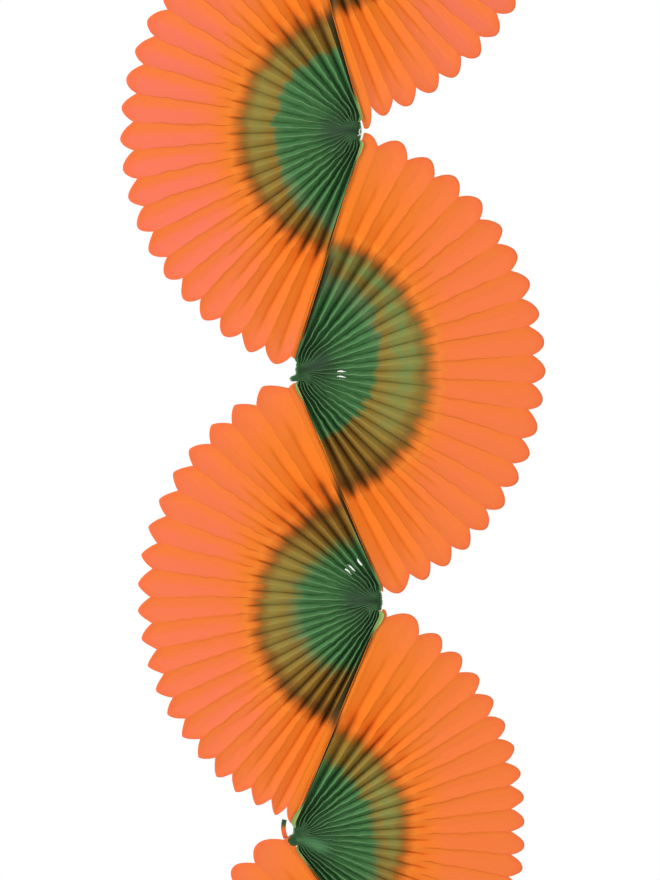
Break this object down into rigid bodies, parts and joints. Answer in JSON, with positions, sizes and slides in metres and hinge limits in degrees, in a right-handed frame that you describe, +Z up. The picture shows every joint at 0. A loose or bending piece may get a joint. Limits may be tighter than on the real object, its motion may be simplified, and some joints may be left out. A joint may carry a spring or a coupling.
{
  "type": "pleated fan garland",
  "caption": "Hanging garland of pleated tissue fans that open to left and right in turn, orange with a green heart, with a stiff card at each end.",
  "frame": {"origin": "centre of the hanging hole in the top card", "axes": "+Z up along the hanging garland, +X to the right, -Y towards the viewer"},
  "size_m": [0.2604, 0.016, 1.002],
  "materials": {
    "dyed_tissue": "matte",
    "hub_tissue": "matte",
    "thread": "matte",
    "card": "matte"
  },
  "bodies": {
    "top_end": {"top_card": "card", "fan_1_first_leaf": "dyed_tissue", "fan_1_hub_gather": "hub_tissue", "fan_1_binding_thread": "thread"},
    "seam_1": {"fan_1_last_leaf": "dyed_tissue", "fan_2_first_leaf": "dyed_tissue", "fan_2_hub_gather": "hub_tissue", "fan_2_binding_thread": "thread"},
    "fan_1_section_1": {"fan_1_petals_1": "dyed_tissue"},
    "fan_1_section_2": {"fan_1_petals_2": "dyed_tissue"},
    "fan_1_section_3": {"fan_1_petals_3": "dyed_tissue"},
    "fan_1_section_4": {"fan_1_petals_4": "dyed_tissue"},
    "fan_1_section_5": {"fan_1_petals_5": "dyed_tissue"},
    "seam_2": {"fan_2_last_leaf": "dyed_tissue", "fan_3_first_leaf": "dyed_tissue", "fan_3_hub_gather": "hub_tissue", "fan_3_binding_thread": "thread"},
    "fan_2_section_1": {"fan_2_petals_1": "dyed_tissue"},
    "fan_2_section_2": {"fan_2_petals_2": "dyed_tissue"},
    "fan_2_section_3": {"fan_2_petals_3": "dyed_tissue"},
    "fan_2_section_4": {"fan_2_petals_4": "dyed_tissue"},
    "fan_2_section_5": {"fan_2_petals_5": "dyed_tissue"},
    "seam_3": {"fan_3_last_leaf": "dyed_tissue", "fan_4_first_leaf": "dyed_tissue", "fan_4_hub_gather": "hub_tissue", "fan_4_binding_thread": "thread"},
    "fan_3_section_1": {"fan_3_petals_1": "dyed_tissue"},
    "fan_3_section_2": {"fan_3_petals_2": "dyed_tissue"},
    "fan_3_section_3": {"fan_3_petals_3": "dyed_tissue"},
    "fan_3_section_4": {"fan_3_petals_4": "dyed_tissue"},
    "fan_3_section_5": {"fan_3_petals_5": "dyed_tissue"},
    "seam_4": {"fan_4_last_leaf": "dyed_tissue", "fan_5_first_leaf": "dyed_tissue", "fan_5_hub_gather": "hub_tissue", "fan_5_binding_thread": "thread"},
    "fan_4_section_1": {"fan_4_petals_1": "dyed_tissue"},
    "fan_4_section_2": {"fan_4_petals_2": "dyed_tissue"},
    "fan_4_section_3": {"fan_4_petals_3": "dyed_tissue"},
    "fan_4_section_4": {"fan_4_petals_4": "dyed_tissue"},
    "fan_4_section_5": {"fan_4_petals_5": "dyed_tissue"},
    "seam_5": {"fan_5_last_leaf": "dyed_tissue", "fan_6_first_leaf": "dyed_tissue", "fan_6_hub_gather": "hub_tissue", "fan_6_binding_thread": "thread"},
    "fan_5_section_1": {"fan_5_petals_1": "dyed_tissue"},
    "fan_5_section_2": {"fan_5_petals_2": "dyed_tissue"},
    "fan_5_section_3": {"fan_5_petals_3": "dyed_tissue"},
    "fan_5_section_4": {"fan_5_petals_4": "dyed_tissue"},
    "fan_5_section_5": {"fan_5_petals_5": "dyed_tissue"},
    "bottom_end": {"fan_6_last_leaf": "dyed_tissue", "bottom_card": "card"},
    "fan_6_section_1": {"fan_6_petals_1": "dyed_tissue"},
    "fan_6_section_2": {"fan_6_petals_2": "dyed_tissue"},
    "fan_6_section_3": {"fan_6_petals_3": "dyed_tissue"},
    "fan_6_section_4": {"fan_6_petals_4": "dyed_tissue"},
    "fan_6_section_5": {"fan_6_petals_5": "dyed_tissue"}
  },
  "joints": [
    {"name": "fan_1_fold", "type": "hinge", "parent": "top_end", "child": "seam_1", "pos_m": [-0.04038, 0, -0.15068], "axis": [0, -1, 0], "range_deg": [0, 146]},
    {"name": "fan_1_section_1_turn", "type": "hinge", "parent": "top_end", "child": "fan_1_section_1", "pos_m": [-0.04038, 0, -0.15068], "axis": [0, -1, 0], "range_deg": [0, 16.59], "deforming": ["fan_1_petals_1"]},
    {"name": "fan_1_section_2_turn", "type": "hinge", "parent": "top_end", "child": "fan_1_section_2", "pos_m": [-0.04038, 0, -0.15068], "axis": [0, -1, 0], "range_deg": [0, 47.62], "deforming": ["fan_1_petals_2"]},
    {"name": "fan_1_section_3_turn", "type": "hinge", "parent": "top_end", "child": "fan_1_section_3", "pos_m": [-0.04038, 0, -0.15068], "axis": [0, -1, 0], "range_deg": [0, 77.11], "deforming": ["fan_1_petals_3"]},
    {"name": "fan_1_section_4_turn", "type": "hinge", "parent": "top_end", "child": "fan_1_section_4", "pos_m": [-0.04038, 0, -0.15068], "axis": [0, -1, 0], "range_deg": [0, 105.04], "deforming": ["fan_1_petals_4"]},
    {"name": "fan_1_section_5_turn", "type": "hinge", "parent": "top_end", "child": "fan_1_section_5", "pos_m": [-0.04038, 0, -0.15068], "axis": [0, -1, 0], "range_deg": [0, 131.42], "deforming": ["fan_1_petals_5"]},
    {"name": "fan_2_fold", "type": "hinge", "parent": "seam_1", "child": "seam_2", "pos_m": [-0.00683, 0, -0.29832], "axis": [0, 1, 0], "range_deg": [0, 145.64], "deforming": ["fan_2_first_leaf"]},
    {"name": "fan_2_section_1_turn", "type": "hinge", "parent": "seam_1", "child": "fan_2_section_1", "pos_m": [-0.00683, 0, -0.29832], "axis": [0, 1, 0], "range_deg": [0, 19.62], "deforming": ["fan_2_petals_1"]},
    {"name": "fan_2_section_2_turn", "type": "hinge", "parent": "seam_1", "child": "fan_2_section_2", "pos_m": [-0.00683, 0, -0.29832], "axis": [0, 1, 0], "range_deg": [0, 49.83], "deforming": ["fan_2_petals_2"]},
    {"name": "fan_2_section_3_turn", "type": "hinge", "parent": "seam_1", "child": "fan_2_section_3", "pos_m": [-0.00683, 0, -0.29832], "axis": [0, 1, 0], "range_deg": [0, 78.52], "deforming": ["fan_2_petals_3"]},
    {"name": "fan_2_section_4_turn", "type": "hinge", "parent": "seam_1", "child": "fan_2_section_4", "pos_m": [-0.00683, 0, -0.29832], "axis": [0, 1, 0], "range_deg": [0, 105.71], "deforming": ["fan_2_petals_4"]},
    {"name": "fan_2_section_5_turn", "type": "hinge", "parent": "seam_1", "child": "fan_2_section_5", "pos_m": [-0.00683, 0, -0.29832], "axis": [0, 1, 0], "range_deg": [0, 131.39], "deforming": ["fan_2_petals_5"]},
    {"name": "fan_3_fold", "type": "hinge", "parent": "seam_2", "child": "seam_3", "pos_m": [-0.04343, 0, -0.44296], "axis": [0, -1, 0], "range_deg": [0, 138.72], "deforming": ["fan_3_first_leaf"]},
    {"name": "fan_3_section_1_turn", "type": "hinge", "parent": "seam_2", "child": "fan_3_section_1", "pos_m": [-0.04343, 0, -0.44296], "axis": [0, -1, 0], "range_deg": [0, 18.84], "deforming": ["fan_3_petals_1"]},
    {"name": "fan_3_section_2_turn", "type": "hinge", "parent": "seam_2", "child": "fan_3_section_2", "pos_m": [-0.04343, 0, -0.44296], "axis": [0, -1, 0], "range_deg": [0, 47.55], "deforming": ["fan_3_petals_2"]},
    {"name": "fan_3_section_3_turn", "type": "hinge", "parent": "seam_2", "child": "fan_3_section_3", "pos_m": [-0.04343, 0, -0.44296], "axis": [0, -1, 0], "range_deg": [0, 74.83], "deforming": ["fan_3_petals_3"]},
    {"name": "fan_3_section_4_turn", "type": "hinge", "parent": "seam_2", "child": "fan_3_section_4", "pos_m": [-0.04343, 0, -0.44296], "axis": [0, -1, 0], "range_deg": [0, 100.67], "deforming": ["fan_3_petals_4"]},
    {"name": "fan_3_section_5_turn", "type": "hinge", "parent": "seam_2", "child": "fan_3_section_5", "pos_m": [-0.04343, 0, -0.44296], "axis": [0, -1, 0], "range_deg": [0, 125.08], "deforming": ["fan_3_petals_5"]},
    {"name": "fan_4_fold", "type": "hinge", "parent": "seam_3", "child": "seam_4", "pos_m": [0.00575, 0, -0.58032], "axis": [0, 1, 0], "range_deg": [0, 133.3], "deforming": ["fan_4_first_leaf"]},
    {"name": "fan_4_section_1_turn", "type": "hinge", "parent": "seam_3", "child": "fan_4_section_1", "pos_m": [0.00575, 0, -0.58032], "axis": [0, 1, 0], "range_deg": [0, 18.24], "deforming": ["fan_4_petals_1"]},
    {"name": "fan_4_section_2_turn", "type": "hinge", "parent": "seam_3", "child": "fan_4_section_2", "pos_m": [0.00575, 0, -0.58032], "axis": [0, 1, 0], "range_deg": [0, 45.77], "deforming": ["fan_4_petals_2"]},
    {"name": "fan_4_section_3_turn", "type": "hinge", "parent": "seam_3", "child": "fan_4_section_3", "pos_m": [0.00575, 0, -0.58032], "axis": [0, 1, 0], "range_deg": [0, 71.94], "deforming": ["fan_4_petals_3"]},
    {"name": "fan_4_section_4_turn", "type": "hinge", "parent": "seam_3", "child": "fan_4_section_4", "pos_m": [0.00575, 0, -0.58032], "axis": [0, 1, 0], "range_deg": [0, 96.73], "deforming": ["fan_4_petals_4"]},
    {"name": "fan_4_section_5_turn", "type": "hinge", "parent": "seam_3", "child": "fan_4_section_5", "pos_m": [0.00575, 0, -0.58032], "axis": [0, 1, 0], "range_deg": [0, 120.14], "deforming": ["fan_4_petals_5"]},
    {"name": "fan_5_fold", "type": "hinge", "parent": "seam_4", "child": "seam_5", "pos_m": [-0.04471, 0, -0.72126], "axis": [0, -1, 0], "range_deg": [0, 121.27], "deforming": ["fan_5_first_leaf"]},
    {"name": "fan_5_section_1_turn", "type": "hinge", "parent": "seam_4", "child": "fan_5_section_1", "pos_m": [-0.04471, 0, -0.72126], "axis": [0, -1, 0], "range_deg": [0, 16.89], "deforming": ["fan_5_petals_1"]},
    {"name": "fan_5_section_2_turn", "type": "hinge", "parent": "seam_4", "child": "fan_5_section_2", "pos_m": [-0.04471, 0, -0.72126], "axis": [0, -1, 0], "range_deg": [0, 41.83], "deforming": ["fan_5_petals_2"]},
    {"name": "fan_5_section_3_turn", "type": "hinge", "parent": "seam_4", "child": "fan_5_section_3", "pos_m": [-0.04471, 0, -0.72126], "axis": [0, -1, 0], "range_deg": [0, 65.52], "deforming": ["fan_5_petals_3"]},
    {"name": "fan_5_section_4_turn", "type": "hinge", "parent": "seam_4", "child": "fan_5_section_4", "pos_m": [-0.04471, 0, -0.72126], "axis": [0, -1, 0], "range_deg": [0, 87.96], "deforming": ["fan_5_petals_4"]},
    {"name": "fan_5_section_5_turn", "type": "hinge", "parent": "seam_4", "child": "fan_5_section_5", "pos_m": [-0.04471, 0, -0.72126], "axis": [0, -1, 0], "range_deg": [0, 109.16], "deforming": ["fan_5_petals_5"]},
    {"name": "fan_6_fold", "type": "hinge", "parent": "seam_5", "child": "bottom_end", "pos_m": [0.02722, 0, -0.83774], "axis": [0, 1, 0], "range_deg": [0, 122.42], "deforming": ["fan_6_first_leaf"]},
    {"name": "fan_6_section_1_turn", "type": "hinge", "parent": "seam_5", "child": "fan_6_section_1", "pos_m": [0.02722, 0, -0.83774], "axis": [0, 1, 0], "range_deg": [0, 17.18], "deforming": ["fan_6_petals_1"]},
    {"name": "fan_6_section_2_turn", "type": "hinge", "parent": "seam_5", "child": "fan_6_section_2", "pos_m": [0.02722, 0, -0.83774], "axis": [0, 1, 0], "range_deg": [0, 42.69], "deforming": ["fan_6_petals_2"]},
    {"name": "fan_6_section_3_turn", "type": "hinge", "parent": "seam_5", "child": "fan_6_section_3", "pos_m": [0.02722, 0, -0.83774], "axis": [0, 1, 0], "range_deg": [0, 66.92], "deforming": ["fan_6_petals_3"]},
    {"name": "fan_6_section_4_turn", "type": "hinge", "parent": "seam_5", "child": "fan_6_section_4", "pos_m": [0.02722, 0, -0.83774], "axis": [0, 1, 0], "range_deg": [0, 89.88], "deforming": ["fan_6_petals_4"]},
    {"name": "fan_6_section_5_turn", "type": "hinge", "parent": "seam_5", "child": "fan_6_section_5", "pos_m": [0.02722, 0, -0.83774], "axis": [0, 1, 0], "range_deg": [0, 111.56], "deforming": ["fan_6_petals_5"]}
  ],
  "couplings": [
    {"joint": "fan_1_section_1_turn", "follows": "fan_1_fold", "ratio": 0.11364},
    {"joint": "fan_1_section_2_turn", "follows": "fan_1_fold", "ratio": 0.32618},
    {"joint": "fan_1_section_3_turn", "follows": "fan_1_fold", "ratio": 0.52811},
    {"joint": "fan_1_section_4_turn", "follows": "fan_1_fold", "ratio": 0.71942},
    {"joint": "fan_1_section_5_turn", "follows": "fan_1_fold", "ratio": 0.90011},
    {"joint": "fan_2_fold", "follows": "fan_1_fold", "ratio": 0.99751},
    {"joint": "fan_2_section_1_turn", "follows": "fan_1_fold", "ratio": 0.13437},
    {"joint": "fan_2_section_2_turn", "follows": "fan_1_fold", "ratio": 0.34126},
    {"joint": "fan_2_section_3_turn", "follows": "fan_1_fold", "ratio": 0.53781},
    {"joint": "fan_2_section_4_turn", "follows": "fan_1_fold", "ratio": 0.72403},
    {"joint": "fan_2_section_5_turn", "follows": "fan_1_fold", "ratio": 0.89992},
    {"joint": "fan_3_fold", "follows": "fan_1_fold", "ratio": 0.95015},
    {"joint": "fan_3_section_1_turn", "follows": "fan_1_fold", "ratio": 0.12906},
    {"joint": "fan_3_section_2_turn", "follows": "fan_1_fold", "ratio": 0.32571},
    {"joint": "fan_3_section_3_turn", "follows": "fan_1_fold", "ratio": 0.51254},
    {"joint": "fan_3_section_4_turn", "follows": "fan_1_fold", "ratio": 0.68954},
    {"joint": "fan_3_section_5_turn", "follows": "fan_1_fold", "ratio": 0.85672},
    {"joint": "fan_4_fold", "follows": "fan_1_fold", "ratio": 0.91302},
    {"joint": "fan_4_section_1_turn", "follows": "fan_1_fold", "ratio": 0.12489},
    {"joint": "fan_4_section_2_turn", "follows": "fan_1_fold", "ratio": 0.31352},
    {"joint": "fan_4_section_3_turn", "follows": "fan_1_fold", "ratio": 0.49272},
    {"joint": "fan_4_section_4_turn", "follows": "fan_1_fold", "ratio": 0.6625},
    {"joint": "fan_4_section_5_turn", "follows": "fan_1_fold", "ratio": 0.82285},
    {"joint": "fan_5_fold", "follows": "fan_1_fold", "ratio": 0.83062},
    {"joint": "fan_5_section_1_turn", "follows": "fan_1_fold", "ratio": 0.11565},
    {"joint": "fan_5_section_2_turn", "follows": "fan_1_fold", "ratio": 0.28646},
    {"joint": "fan_5_section_3_turn", "follows": "fan_1_fold", "ratio": 0.44873},
    {"joint": "fan_5_section_4_turn", "follows": "fan_1_fold", "ratio": 0.60248},
    {"joint": "fan_5_section_5_turn", "follows": "fan_1_fold", "ratio": 0.74769},
    {"joint": "fan_6_fold", "follows": "fan_1_fold", "ratio": 0.83845},
    {"joint": "fan_6_section_1_turn", "follows": "fan_1_fold", "ratio": 0.11767},
    {"joint": "fan_6_section_2_turn", "follows": "fan_1_fold", "ratio": 0.29236},
    {"joint": "fan_6_section_3_turn", "follows": "fan_1_fold", "ratio": 0.45833},
    {"joint": "fan_6_section_4_turn", "follows": "fan_1_fold", "ratio": 0.61557},
    {"joint": "fan_6_section_5_turn", "follows": "fan_1_fold", "ratio": 0.76409}
  ]
}
